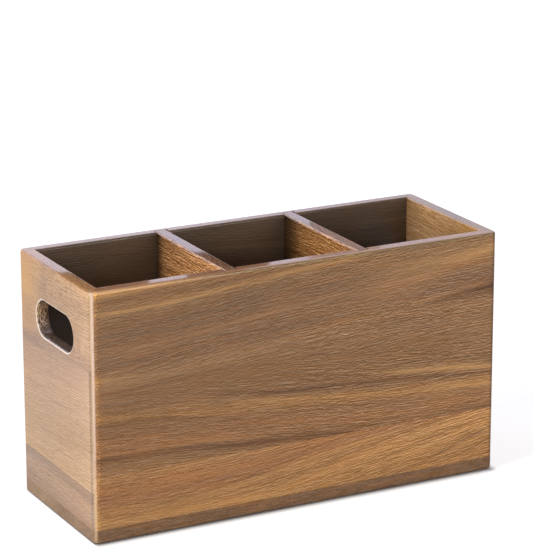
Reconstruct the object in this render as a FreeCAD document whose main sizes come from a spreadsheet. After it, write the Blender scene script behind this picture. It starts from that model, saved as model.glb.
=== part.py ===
import FreeCAD, Part
import math
import os
import Sketcher

# Wooden utensil caddy with three open compartments.
#
# A base board carries four walls, mitred at the corners. Each wall is glued up
# from horizontal staves. Two dividers stand on the base board with their ends
# in upright grooves in the front and back walls, and slide up and out.
#
# Frame: origin at the centre of the underside, +X along the length, +Y from
# the front wall to the back wall, +Z up. Millimetres.

doc = FreeCAD.newDocument("utensil_caddy")

# ---------------------------------------------------------------------------
# Driving dimensions
# ---------------------------------------------------------------------------
DIMENSIONS = [
    ("caddy_length", 300.0, "outside length, X"),
    ("caddy_depth", 114.0, "outside depth, Y"),
    ("caddy_height", 170.0, "outside height, Z"),
    ("base_thickness", 10.0, "base board"),
    ("wall_thickness", 9.0, "front, back and end walls"),
    ("corner_round", 4.0, "upright outside corners"),
    ("rim_round", 1.75, "outside arris of the rim"),
    ("rim_inner_round", 1.5, "inside arris of the rim"),
    ("foot_round", 2.5, "bottom arris of the base board"),
    ("long_joint_height", 46.0, "glue line in front and back, above the underside"),
    ("end_low_joint_height", 35.0, "lower glue line in the ends, above the underside"),
    ("end_high_joint_height", 117.5, "upper glue line in the ends, above the underside"),
    ("slot_width", 58.0, "handle slot, along the wall"),
    ("slot_height", 24.0, "handle slot, upright"),
    ("slot_centre_height", 132.0, "handle slot centre above the underside"),
    ("slot_round", 1.75, "arris of the handle slot, both faces"),
    ("divider_thickness", 9.0, "divider board"),
    ("divider_offset", 48.5, "divider centre from the middle of the caddy"),
    ("divider_round", 1.5, "top arrises of a divider"),
    ("groove_depth", 5.0, "grooves in front and back walls"),
    ("groove_side_gap", 0.25, "play beside a divider in its groove, each side"),
    ("groove_end_gap", 0.3, "play at each end of a divider"),
]

sheet = doc.addObject("Spreadsheet::Sheet", "Dimensions")
for row, (alias, value, note) in enumerate(DIMENSIONS, start=1):
    sheet.set("A%d" % row, note)
    sheet.set("B%d" % row, "%g" % value)
    sheet.setAlias("B%d" % row, alias)
doc.recompute()


def dim(alias):
    """The current value of one cell of the sheet."""
    return float(getattr(sheet, alias))


# ---------------------------------------------------------------------------
# Helpers
# ---------------------------------------------------------------------------
def make_body(label):
    body = doc.addObject("PartDesign::Body", label)
    body.Label = label
    return body


def origin_plane(body, role):
    for feature in body.Origin.OriginFeatures:
        if feature.Role == role:
            return feature
    raise RuntimeError("no plane %s in %s" % (role, body.Label))


def new_sketch(body, name, role):
    sketch = body.newObject("Sketcher::SketchObject", name)
    sketch.AttachmentSupport = [(origin_plane(body, role), "")]
    sketch.MapMode = "FlatFace"
    return sketch


def bind(sketch, index, name, expression):
    """Name a dimensional constraint and drive it from the sheet."""
    sketch.renameConstraint(index, name)
    sketch.setExpression("Constraints." + name, expression)


def line(x1, y1, x2, y2):
    return Part.LineSegment(FreeCAD.Vector(x1, y1, 0), FreeCAD.Vector(x2, y2, 0))


def arc(cx, cy, radius, start_deg, end_deg):
    circle = Part.Circle(FreeCAD.Vector(cx, cy, 0), FreeCAD.Vector(0, 0, 1), radius)
    return Part.ArcOfCircle(circle, math.radians(start_deg), math.radians(end_deg))


def edge_names(feature, test):
    """Names of the edges of a feature that pass a test of their shape."""
    names = []
    for number, edge in enumerate(feature.Shape.Edges, start=1):
        if test(edge):
            names.append("Edge%d" % number)
    if not names:
        raise RuntimeError("no edge found on %s" % feature.Label)
    return names


def all_at(edge, axis, value, tolerance=1e-4):
    """True if the whole edge lies at one coordinate along an axis."""
    box = edge.BoundBox
    low = getattr(box, axis + "Min")
    high = getattr(box, axis + "Max")
    return abs(low - value) < tolerance and abs(high - value) < tolerance


def add_fillet(body, name, base, names, alias):
    fillet = body.newObject("PartDesign::Fillet", name)
    fillet.Base = (base, names)
    fillet.setExpression("Radius", "Dimensions." + alias)
    doc.recompute()
    if not fillet.Shape.Volume < base.Shape.Volume:
        raise RuntimeError("%s took no wood away from %s" % (name, body.Label))
    return fillet


def check_cut(before, after, expected, label):
    """A pocket must remove about the wood that was meant to go."""
    removed = before.Shape.Volume - after.Shape.Volume
    if abs(removed - expected) > 0.02 * expected + 1.0:
        raise RuntimeError(
            "%s removed %.1f mm3, expected %.1f" % (label, removed, expected)
        )


def place(body, turn_deg, x_expr, y_expr, z_expr):
    """Turn a body about Z and drive its position from the sheet."""
    body.Placement = FreeCAD.Placement(
        FreeCAD.Vector(0, 0, 0),
        FreeCAD.Rotation(FreeCAD.Vector(0, 0, 1), turn_deg),
    )
    for axis, expression in (("x", x_expr), ("y", y_expr), ("z", z_expr)):
        if expression:
            body.setExpression("Placement.Base." + axis, expression)


# ---------------------------------------------------------------------------
# Wall staves
# ---------------------------------------------------------------------------
# Each stave is drawn with its outside face on y = 0 and its inside face on
# y = wall_thickness, centred on x = 0, standing on z = 0. Its ends are mitred
# at 45 degrees, and the outside of the mitre carries its half of the rounded
# corner.
def mitred_profile(body, length_alias):
    length = dim(length_alias)
    wall = dim("wall_thickness")
    r = dim("corner_round")
    half = length / 2.0
    k = r * math.sqrt(0.5)

    sketch = new_sketch(body, body.Label + "_profile", "XY_Plane")
    outer = sketch.addGeometry(line(-half + r, 0, half - r, 0), False)
    right_arc = sketch.addGeometry(arc(half - r, r, r, -90, -45), False)
    right_mitre = sketch.addGeometry(
        line(half - r + k, r - k, half - wall, wall), False
    )
    inner = sketch.addGeometry(line(half - wall, wall, -half + wall, wall), False)
    left_mitre = sketch.addGeometry(
        line(-half + wall, wall, -half + r - k, r - k), False
    )
    left_arc = sketch.addGeometry(arc(-half + r, r, r, -135, -90), False)

    add = sketch.addConstraint
    con = Sketcher.Constraint
    # the closed loop
    add(con("Tangent", outer, 2, right_arc, 1))
    add(con("Coincident", right_arc, 2, right_mitre, 1))
    add(con("Coincident", right_mitre, 2, inner, 1))
    add(con("Coincident", inner, 2, left_mitre, 1))
    add(con("Coincident", left_mitre, 2, left_arc, 1))
    add(con("Tangent", left_arc, 2, outer, 1))
    # the outside face lies on the X axis, centred on the origin
    add(con("Symmetric", outer, 1, outer, 2, -2))
    add(con("PointOnObject", outer, 1, -1))
    add(con("Symmetric", inner, 1, inner, 2, -2))
    # each mitre runs through the centre of its corner arc
    add(con("PointOnObject", right_arc, 3, right_mitre))
    add(con("PointOnObject", left_arc, 3, left_mitre))
    # dimensions
    index = add(con("DistanceX", outer, 1, outer, 2, length - 2 * r))
    bind(
        sketch, index, "outside_flat",
        "Dimensions.%s - 2 * Dimensions.corner_round" % length_alias,
    )
    index = add(con("DistanceX", inner, 2, inner, 1, length - 2 * wall))
    bind(
        sketch, index, "inside_length",
        "Dimensions.%s - 2 * Dimensions.wall_thickness" % length_alias,
    )
    index = add(con("DistanceY", -1, 1, inner, 1, wall))
    bind(sketch, index, "thickness", "Dimensions.wall_thickness")
    index = add(con("Radius", right_arc, r))
    bind(sketch, index, "right_round", "Dimensions.corner_round")
    index = add(con("Radius", left_arc, r))
    bind(sketch, index, "left_round", "Dimensions.corner_round")
    return sketch


def stave_blank(label, length_alias, low_expr, high_expr):
    """A mitred stave between two heights of the caddy."""
    body = make_body(label)
    sketch = mitred_profile(body, length_alias)
    pad = body.newObject("PartDesign::Pad", label + "_pad")
    pad.Profile = sketch
    pad.setExpression("Length", "(%s) - (%s)" % (high_expr, low_expr))
    doc.recompute()
    return body, pad


def round_rim(body, base):
    """Round the outside and the inside arris of a stave that forms the rim."""
    wall = dim("wall_thickness")
    top = base.Shape.BoundBox.ZMax

    def outside(edge):
        # the long outside edge and the two corner arcs at its ends
        if not all_at(edge, "Z", top):
            return False
        is_arc = edge.Curve.TypeId == "Part::GeomCircle"
        return is_arc or all_at(edge, "Y", 0.0)

    fillet = add_fillet(
        body, body.Label + "_rim_outside", base, edge_names(base, outside), "rim_round"
    )

    def inside(edge):
        return all_at(edge, "Z", top) and all_at(edge, "Y", wall)

    return add_fillet(
        body, body.Label + "_rim_inside", fillet, edge_names(fillet, inside),
        "rim_inner_round",
    )


def cut_grooves(body, base):
    """Two upright grooves in the inside face, open at the stave's top and bottom."""
    wall = dim("wall_thickness")
    depth = dim("groove_depth")
    offset = dim("divider_offset")
    width = dim("divider_thickness") + 2 * dim("groove_side_gap")
    past = 1.0  # the cutter runs this far past the inside face

    sketch = new_sketch(body, body.Label + "_grooves", "XY_Plane")
    add = sketch.addConstraint
    con = Sketcher.Constraint
    for side, sign in (("left", -1), ("right", 1)):
        x1 = sign * offset - width / 2.0
        x2 = sign * offset + width / 2.0
        y1 = wall - depth
        y2 = wall + past
        bottom = sketch.addGeometry(line(x1, y1, x2, y1), False)
        right = sketch.addGeometry(line(x2, y1, x2, y2), False)
        top = sketch.addGeometry(line(x2, y2, x1, y2), False)
        left = sketch.addGeometry(line(x1, y2, x1, y1), False)
        add(con("Coincident", bottom, 2, right, 1))
        add(con("Coincident", right, 2, top, 1))
        add(con("Coincident", top, 2, left, 1))
        add(con("Coincident", left, 2, bottom, 1))
        add(con("Horizontal", bottom))
        add(con("Horizontal", top))
        add(con("Vertical", right))
        add(con("Vertical", left))
        index = add(con("DistanceX", bottom, 1, bottom, 2, width))
        bind(
            sketch, index, side + "_width",
            "Dimensions.divider_thickness + 2 * Dimensions.groove_side_gap",
        )
        index = add(con("DistanceY", -1, 1, bottom, 1, y1))
        bind(
            sketch, index, side + "_floor",
            "Dimensions.wall_thickness - Dimensions.groove_depth",
        )
        index = add(con("DistanceY", -1, 1, top, 1, y2))
        bind(sketch, index, side + "_mouth", "Dimensions.wall_thickness + %g" % past)
        half = "(Dimensions.divider_thickness / 2 + Dimensions.groove_side_gap)"
        if sign < 0:
            index = add(con("DistanceX", bottom, 1, -1, 1, -x1))
            bind(
                sketch, index, side + "_place",
                "Dimensions.divider_offset + " + half,
            )
        else:
            index = add(con("DistanceX", -1, 1, bottom, 1, x1))
            bind(
                sketch, index, side + "_place",
                "Dimensions.divider_offset - " + half,
            )
    pocket = body.newObject("PartDesign::Pocket", body.Label + "_groove_cut")
    pocket.Profile = sketch
    pocket.Type = 1  # through all
    pocket.Reversed = True  # upwards, into the stave
    doc.recompute()
    box = base.Shape.BoundBox
    check_cut(base, pocket, 2 * width * depth * box.ZLength, body.Label + " grooves")
    return pocket


def cut_slot(body, base, stave_low_alias):
    """The rounded handle slot, straight through the wall, with softened edges."""
    wall = dim("wall_thickness")
    width = dim("slot_width")
    height = dim("slot_height")
    level = dim("slot_centre_height") - dim(stave_low_alias)
    r = height / 2.0
    x = width / 2.0 - r

    sketch = new_sketch(body, body.Label + "_slot", "XZ_Plane")
    bottom = sketch.addGeometry(line(-x, level - r, x, level - r), False)
    right = sketch.addGeometry(arc(x, level, r, -90, 90), False)
    top = sketch.addGeometry(line(x, level + r, -x, level + r), False)
    left = sketch.addGeometry(arc(-x, level, r, 90, 270), False)
    add = sketch.addConstraint
    con = Sketcher.Constraint
    add(con("Tangent", bottom, 2, right, 1))
    add(con("Tangent", right, 2, top, 1))
    add(con("Tangent", top, 2, left, 1))
    add(con("Tangent", left, 2, bottom, 1))
    add(con("Symmetric", bottom, 1, bottom, 2, -2))
    index = add(con("Radius", right, r))
    bind(sketch, index, "end_round", "Dimensions.slot_height / 2")
    index = add(con("DistanceX", bottom, 1, bottom, 2, 2 * x))
    bind(
        sketch, index, "straight_part",
        "Dimensions.slot_width - Dimensions.slot_height",
    )
    index = add(con("DistanceY", -1, 1, right, 3, level))
    bind(
        sketch, index, "level",
        "Dimensions.slot_centre_height - Dimensions.%s" % stave_low_alias,
    )
    pocket = body.newObject("PartDesign::Pocket", body.Label + "_slot_cut")
    pocket.Profile = sketch
    pocket.Type = 1  # through all
    doc.recompute()
    area = 2 * x * height + math.pi * r * r
    check_cut(base, pocket, area * wall, body.Label + " slot")

    def slot_rim(edge):
        box = edge.BoundBox
        if box.ZMin < level - r - 1e-3 or box.ZMax > level + r + 1e-3:
            return False
        if box.XMin < -width / 2.0 - 1e-3 or box.XMax > width / 2.0 + 1e-3:
            return False
        return all_at(edge, "Y", 0.0) or all_at(edge, "Y", wall)

    return add_fillet(
        body, body.Label + "_slot_round", pocket, edge_names(pocket, slot_rim),
        "slot_round",
    )


pieces = []


def long_stave(label, low_expr, high_expr, is_rim, turn_deg, y_expr):
    """A stave of the front or back wall."""
    body, tip = stave_blank(label, "caddy_length", low_expr, high_expr)
    if is_rim:
        tip = round_rim(body, tip)
    tip = cut_grooves(body, tip)
    body.Tip = tip
    place(body, turn_deg, None, y_expr, low_expr)
    pieces.append(body)


def end_stave(label, low_alias, high_expr, is_rim, turn_deg, x_expr):
    """A stave of the left or right end."""
    low_expr = "Dimensions." + low_alias
    body, tip = stave_blank(label, "caddy_depth", low_expr, high_expr)
    if is_rim:
        tip = round_rim(body, tip)
        tip = cut_slot(body, tip, low_alias)
    body.Tip = tip
    place(body, turn_deg, x_expr, None, low_expr)
    pieces.append(body)


BASE_TOP = "Dimensions.base_thickness"
LONG_JOINT = "Dimensions.long_joint_height"
END_LOW = "Dimensions.end_low_joint_height"
END_HIGH = "Dimensions.end_high_joint_height"
RIM = "Dimensions.caddy_height"

# front wall faces -Y, back wall is the same glue-up turned half round
for side, turn, y_expr in (
    ("front", 0, "-Dimensions.caddy_depth / 2"),
    ("back", 180, "Dimensions.caddy_depth / 2"),
):
    long_stave(side + "_panel_lower_stave", BASE_TOP, LONG_JOINT, False, turn, y_expr)
    long_stave(side + "_panel_upper_stave", LONG_JOINT, RIM, True, turn, y_expr)

# the two ends are one glue-up as well, turned to face -X and +X
for side, turn, x_expr in (
    ("left", -90, "-Dimensions.caddy_length / 2"),
    ("right", 90, "Dimensions.caddy_length / 2"),
):
    end_stave(side + "_end_lower_stave", "base_thickness", END_LOW, False, turn, x_expr)
    end_stave(
        side + "_end_middle_stave", "end_low_joint_height", END_HIGH, False, turn,
        x_expr,
    )
    end_stave(
        side + "_end_upper_stave", "end_high_joint_height", RIM, True, turn, x_expr
    )


# ---------------------------------------------------------------------------
# Boards that are plain rectangles in plan
# ---------------------------------------------------------------------------
def centred_board(label, size_x, size_x_expr, size_y, size_y_expr, height_expr):
    body = make_body(label)
    sketch = new_sketch(body, label + "_outline", "XY_Plane")
    x, y = size_x / 2.0, size_y / 2.0
    bottom = sketch.addGeometry(line(-x, -y, x, -y), False)
    right = sketch.addGeometry(line(x, -y, x, y), False)
    top = sketch.addGeometry(line(x, y, -x, y), False)
    left = sketch.addGeometry(line(-x, y, -x, -y), False)
    add = sketch.addConstraint
    con = Sketcher.Constraint
    add(con("Coincident", bottom, 2, right, 1))
    add(con("Coincident", right, 2, top, 1))
    add(con("Coincident", top, 2, left, 1))
    add(con("Coincident", left, 2, bottom, 1))
    add(con("Horizontal", bottom))
    add(con("Horizontal", top))
    add(con("Vertical", right))
    add(con("Vertical", left))
    add(con("Symmetric", bottom, 1, top, 1, -1, 1))
    index = add(con("DistanceX", bottom, 1, bottom, 2, size_x))
    bind(sketch, index, "size_along_x", size_x_expr)
    index = add(con("DistanceY", right, 1, right, 2, size_y))
    bind(sketch, index, "size_along_y", size_y_expr)
    pad = body.newObject("PartDesign::Pad", label + "_pad")
    pad.Profile = sketch
    pad.setExpression("Length", height_expr)
    doc.recompute()
    return body, pad


# Base board: the whole footprint, upright corners and bottom arris rounded.
base_board, tip = centred_board(
    "base_board",
    dim("caddy_length"), "Dimensions.caddy_length",
    dim("caddy_depth"), "Dimensions.caddy_depth",
    "Dimensions.base_thickness",
)


def upright(edge):
    box = edge.BoundBox
    return box.XLength < 1e-4 and box.YLength < 1e-4


tip = add_fillet(
    base_board, "base_board_corners", tip, edge_names(tip, upright), "corner_round"
)
tip = add_fillet(
    base_board, "base_board_bottom_arris", tip,
    edge_names(tip, lambda edge: all_at(edge, "Z", 0.0)), "foot_round",
)
base_board.Tip = tip
pieces.append(base_board)

# Dividers: across the box, standing on the base board, flush with the rim.
divider_length_expr = (
    "Dimensions.caddy_depth - 2 * Dimensions.wall_thickness"
    " + 2 * (Dimensions.groove_depth - Dimensions.groove_end_gap)"
)
divider_length = (
    dim("caddy_depth") - 2 * dim("wall_thickness")
    + 2 * (dim("groove_depth") - dim("groove_end_gap"))
)
for side, sign in (("left", "-"), ("right", "")):
    divider, tip = centred_board(
        side + "_divider",
        dim("divider_thickness"), "Dimensions.divider_thickness",
        divider_length, divider_length_expr,
        "Dimensions.caddy_height - Dimensions.base_thickness",
    )
    top = tip.Shape.BoundBox.ZMax

    def top_arris(edge, level=top):
        return all_at(edge, "Z", level) and edge.BoundBox.YLength > 1.0

    tip = add_fillet(
        divider, side + "_divider_arris", tip, edge_names(tip, top_arris),
        "divider_round",
    )
    divider.Tip = tip
    place(divider, 0, sign + "Dimensions.divider_offset", None, BASE_TOP)
    pieces.append(divider)

doc.recompute()

# ---------------------------------------------------------------------------
# Checks, then one STEP file per piece
# ---------------------------------------------------------------------------
for obj in doc.Objects:
    for word in ("Invalid", "Error"):
        if word in obj.State:
            raise RuntimeError("%s is %s" % (obj.Label, obj.State))

for body in pieces:
    shape = body.Shape
    if shape.isNull() or not shape.isValid():
        raise RuntimeError("bad shape: " + body.Label)
    if len(shape.Solids) != 1:
        raise RuntimeError("%s has %d solids" % (body.Label, len(shape.Solids)))

os.makedirs("parts", exist_ok=True)
for body in sorted(pieces, key=lambda piece: piece.Label):
    box = body.Shape.BoundBox
    print(
        "%-26s X %.2f..%.2f  Y %.2f..%.2f  Z %.2f..%.2f  %.0f mm3"
        % (
            body.Label, box.XMin, box.XMax, box.YMin, box.YMax, box.ZMin, box.ZMax,
            body.Shape.Volume,
        )
    )
    body.Shape.exportStep("parts/%s.step" % body.Label)
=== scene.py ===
"""Looks of the wooden utensil caddy: lacquered acacia on every CAD node, a pale studio and the matched camera."""

import math

import bpy
from mathutils import Matrix, Vector

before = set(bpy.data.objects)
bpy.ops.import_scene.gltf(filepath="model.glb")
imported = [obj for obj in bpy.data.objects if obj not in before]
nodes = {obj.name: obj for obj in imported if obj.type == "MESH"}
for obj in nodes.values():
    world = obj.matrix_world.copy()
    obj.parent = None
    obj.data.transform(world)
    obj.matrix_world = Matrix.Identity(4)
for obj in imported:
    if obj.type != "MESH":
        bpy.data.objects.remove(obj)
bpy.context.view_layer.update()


# ---------------------------------------------------------------------------
# node tree helper
# ---------------------------------------------------------------------------
def srgb(r, g, b):
    """0-255 display values to linear."""
    out = []
    for c in (r, g, b):
        c = c / 255.0
        out.append(c / 12.92 if c <= 0.04045 else ((c + 0.055) / 1.055) ** 2.4)
    return (out[0], out[1], out[2], 1.0)


class Graph:
    """A small wrapper that writes a material's nodes as expressions."""

    def __init__(self, name):
        self.mat = bpy.data.materials.new(name)
        self.mat.use_nodes = True
        self.tree = self.mat.node_tree
        self.tree.nodes.clear()
        self.n = 0

    def add(self, kind, **props):
        node = self.tree.nodes.new(kind)
        for k, v in props.items():
            setattr(node, k, v)
        node.location = (220 * (self.n % 40), -220 * (self.n // 40))
        self.n += 1
        return node

    def put(self, value, socket):
        if isinstance(value, bpy.types.NodeSocket):
            self.tree.links.new(value, socket)
        else:
            socket.default_value = value

    def m(self, op, a, b=None, c=None, clamp=False):
        node = self.add("ShaderNodeMath", operation=op, use_clamp=clamp)
        self.put(a, node.inputs[0])
        if b is not None:
            self.put(b, node.inputs[1])
        if c is not None:
            self.put(c, node.inputs[2])
        return node.outputs[0]

    def sum(self, *terms):
        total = terms[0]
        for t in terms[1:]:
            total = self.m("ADD", total, t)
        return total

    def vec(self, x, y, z):
        node = self.add("ShaderNodeCombineXYZ")
        self.put(x, node.inputs[0])
        self.put(y, node.inputs[1])
        self.put(z, node.inputs[2])
        return node.outputs[0]

    def noise(self, u, v, w, scale=(1, 1, 1), detail=2.0, rough=0.5, seed=0.0, distortion=0.0):
        """Noise of (u, v, w) in millimetres at so many waves per millimetre, about 0, from -0.5 to 0.5."""
        node = self.add("ShaderNodeTexNoise", noise_dimensions="3D", normalize=True)
        vec = self.vec(
            self.m("MULTIPLY_ADD", u, scale[0], seed),
            self.m("MULTIPLY_ADD", v, scale[1], seed * 1.7 + 3.1),
            self.m("MULTIPLY_ADD", w, scale[2], seed * 0.6 - 7.7),
        )
        self.put(vec, node.inputs["Vector"])
        node.inputs["Scale"].default_value = 1.0
        node.inputs["Detail"].default_value = detail
        node.inputs["Roughness"].default_value = rough
        node.inputs["Distortion"].default_value = distortion
        return self.m("SUBTRACT", node.outputs[0], 0.5)

    def step(self, x, lo, hi, out_lo=0.0, out_hi=1.0):
        """Smooth step from out_lo to out_hi as x goes from lo to hi."""
        node = self.add("ShaderNodeMapRange", interpolation_type="SMOOTHSTEP", clamp=True)
        self.put(x, node.inputs["Value"])
        if lo <= hi:
            a, b, c, d = lo, hi, out_lo, out_hi
        else:
            a, b, c, d = hi, lo, out_hi, out_lo
        node.inputs["From Min"].default_value = a
        node.inputs["From Max"].default_value = b
        node.inputs["To Min"].default_value = c
        node.inputs["To Max"].default_value = d
        return node.outputs["Result"]

    def curve(self, x, points):
        """A smooth curve through (x, y) points; flat beyond its ends."""
        points = sorted(points)
        x0, x1 = points[0][0], points[-1][0]
        ys = [p[1] for p in points]
        y0, y1 = min(ys), max(ys)
        if y1 - y0 < 1e-6:
            return self.m("MULTIPLY_ADD", x, 0.0, y0)
        node = self.add("ShaderNodeFloatCurve")
        mapping = node.mapping
        mapping.extend = "HORIZONTAL"
        c = mapping.curves[0]
        scaled = [((px - x0) / (x1 - x0), (py - y0) / (y1 - y0)) for px, py in points]
        c.points[0].location = scaled[0]
        c.points[1].location = scaled[-1]
        for p in scaled[1:-1]:
            c.points.new(*p)
        mapping.update()
        t = self.m("MULTIPLY_ADD", x, 1.0 / (x1 - x0), -x0 / (x1 - x0), clamp=True)
        self.put(t, node.inputs["Value"])
        node.inputs["Factor"].default_value = 1.0
        return self.m("MULTIPLY_ADD", node.outputs[0], y1 - y0, y0)

    def ramp(self, x, stops, interpolation="EASE"):
        """Colours at positions of x, up to 32."""
        stops = sorted(stops, key=lambda s: s[0])
        x0, x1 = stops[0][0], stops[-1][0]
        node = self.add("ShaderNodeValToRGB")
        node.color_ramp.interpolation = interpolation
        el = node.color_ramp.elements
        while len(el) > 1:
            el.remove(el[-1])
        el[0].position = 0.0
        el[0].color = stops[0][1]
        for pos, col in stops[1:]:
            e = el.new((pos - x0) / (x1 - x0))
            e.color = col
        t = self.m("MULTIPLY_ADD", x, 1.0 / (x1 - x0), -x0 / (x1 - x0), clamp=True)
        self.put(t, node.inputs["Fac"])
        return node.outputs["Color"]

    def mix(self, fac, a, b, mode="MIX"):
        node = self.add("ShaderNodeMix", data_type="RGBA", blend_type=mode, clamp_factor=True)
        self.put(fac, node.inputs[0])
        self.put(a, node.inputs[6])
        self.put(b, node.inputs[7])
        return node.outputs[2]

    def scale_colour(self, colour, factor):
        node = self.add("ShaderNodeVectorMath", operation="SCALE")
        self.put(colour, node.inputs[0])
        self.put(factor, node.inputs["Scale"])
        return node.outputs[0]

    def tint(self, colour, gains):
        node = self.add("ShaderNodeVectorMath", operation="MULTIPLY")
        self.put(colour, node.inputs[0])
        node.inputs[1].default_value = gains
        return node.outputs[0]


# ---------------------------------------------------------------------------
# acacia
# ---------------------------------------------------------------------------
DARK = srgb(84, 54, 36)
GOLD = srgb(204, 152, 94)
RED = srgb(160, 98, 62)
GREY = srgb(120, 98, 82)
ORANGE = srgb(176, 112, 62)
PLUM = srgb(112, 86, 74)


def acacia(name, p):
    """One board. u runs along the grain, v across it on the wide face and w through the board, in millimetres.

    p holds: along, across, depth (axis letters), face (depth of the outer face) and drift (how much the figure
    shifts across for each millimetre of depth), spread and reach (curves that bend the grain lines), tones (the
    broad colours across the board), streaks, patches, and strengths of the fine figure.
    """
    g = Graph(name)
    coord = g.add("ShaderNodeTexCoord")
    sep = g.add("ShaderNodeSeparateXYZ")
    g.put(coord.outputs["Object"], sep.inputs[0])
    axis = {k: g.m("MULTIPLY", sep.outputs[i], 1000.0) for i, k in enumerate("XYZ")}
    u = axis[p["along"]]
    if p.get("flip"):
        u = g.m("MULTIPLY", u, -1.0)
    w = g.m("SUBTRACT", axis[p["depth"]], p["face"])
    v = g.m("MULTIPLY_ADD", w, p.get("drift", 0.8), axis[p["across"]])
    seed = p["seed"]

    # slow wander of the grain, then the spread of its lines
    wander = g.noise(u, v, w, (0.007, 0.02, 0.03), detail=1.0, seed=seed + 11)
    wander2 = g.noise(u, v, w, (0.03, 0.06, 0.03), detail=1.0, seed=seed + 17)
    wander3 = g.noise(u, v, w, (0.065, 0.11, 0.08), detail=1.0, seed=seed + 19)
    vv = g.sum(
        v,
        g.m("MULTIPLY", wander, p.get("wander", 6.0)),
        g.m("MULTIPLY", wander2, p.get("wander2", 1.6)),
        g.m("MULTIPLY", wander3, p.get("wander3", 1.5)),
    )
    upper = None
    if p.get("spread"):
        s = g.curve(v, p["spread"])
        f = g.curve(u, p["reach"])
        grain = g.m("SUBTRACT", vv, g.m("MULTIPLY", s, f))
        # the fine fibres keep their spacing: they run along one of two slopes, above and below the fork in the grain
        s_hi, s_lo, z_lo, z_hi = p["fork"]
        grain_hi = g.m("SUBTRACT", vv, g.m("MULTIPLY", f, s_hi))
        grain_lo = g.m("SUBTRACT", vv, g.m("MULTIPLY", f, s_lo))
        if abs(s_hi - s_lo) > 0.01:
            upper = g.step(g.m("MULTIPLY_ADD", wander2, 14.0, v), z_lo, z_hi)
    else:
        grain = grain_hi = grain_lo = vv

    def along(*args, lift=0.0, **kw):
        """Noise along the fibres. A lift takes away the same noise that far across, which leaves only thin lines."""

        def once(shift):
            lo = g.m("ADD", grain_lo, shift) if shift else grain_lo
            a = g.noise(u, lo, w, *args, **kw)
            if upper is None:
                return a
            hi = g.m("ADD", grain_hi, shift) if shift else grain_hi
            b = g.noise(u, hi, w, *args, **kw)
            return g.m("ADD", a, g.m("MULTIPLY", upper, g.m("SUBTRACT", b, a)))

        here = once(0.0)
        if lift:
            return g.m("MULTIPLY_ADD", once(lift), -0.8, here)
        return here

    tone = g.ramp(grain, p["tones"]) if len(p["tones"]) > 1 else p["tones"][0][1]

    # streaks: each follows its own line across the board
    light = None
    dark = None
    warm = None
    shake = g.m("MULTIPLY", g.noise(u, v, w, (0.02, 0.05, 0.05), detail=2.0, seed=seed + 23), p.get("shake", 2.2))
    v_shaken = g.m("ADD", v, shake)
    breakup = g.m("MULTIPLY_ADD", along((0.035, 0.85, 0.6), detail=2.0, rough=0.6, seed=seed + 29), 3.2, 0.95)
    breakup = g.m("MAXIMUM", breakup, 0.0)
    for st in p.get("streaks", []):
        centre = g.curve(u, st["line"])
        d = g.m("DIVIDE", g.m("SUBTRACT", v_shaken, centre), st["half"])
        bell = g.m("DIVIDE", 1.0, g.m("MULTIPLY_ADD", d, d, 1.0))
        bell = g.m("MULTIPLY", bell, bell)
        a, b = st["line"][0][0], st["line"][-1][0]
        ease = st.get("ease", 25.0)
        gate = None
        if not st.get("from_edge"):
            gate = g.step(u, a, a + ease)
        if not st.get("to_edge"):
            end = g.step(u, b, b - ease)
            gate = end if gate is None else g.m("MULTIPLY", gate, end)
        if gate is not None:
            bell = g.m("MULTIPLY", bell, gate)
        grain_break = g.m("MULTIPLY_ADD", breakup, 0.45, 0.55) if st.get("even") else breakup
        bell = g.m("MULTIPLY", bell, g.m("MULTIPLY", grain_break, st["amount"]))
        if st["kind"] == "light":
            light = bell if light is None else g.m("ADD", light, bell)
        elif st["kind"] == "warm":
            warm = bell if warm is None else g.m("ADD", warm, bell)
        else:
            dark = bell if dark is None else g.m("ADD", dark, bell)
    for pt in p.get("patches", []):
        du = g.m("DIVIDE", g.m("SUBTRACT", u, pt["at"][0]), pt["size"][0])
        dv = g.m("DIVIDE", g.m("SUBTRACT", v_shaken, pt["at"][1]), pt["size"][1])
        if pt.get("slope"):
            dv = g.m("SUBTRACT", dv, g.m("MULTIPLY", du, pt["slope"]))
        r2 = g.m("ADD", g.m("MULTIPLY", du, du), g.m("MULTIPLY", dv, dv))
        blob = g.m("MULTIPLY", g.m("EXPONENT", g.m("MULTIPLY", r2, -1.0)), pt["amount"])
        if pt["kind"] == "light":
            light = blob if light is None else g.m("ADD", light, blob)
        elif pt["kind"] == "warm":
            warm = blob if warm is None else g.m("ADD", warm, blob)
        else:
            dark = blob if dark is None else g.m("ADD", dark, blob)

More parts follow.
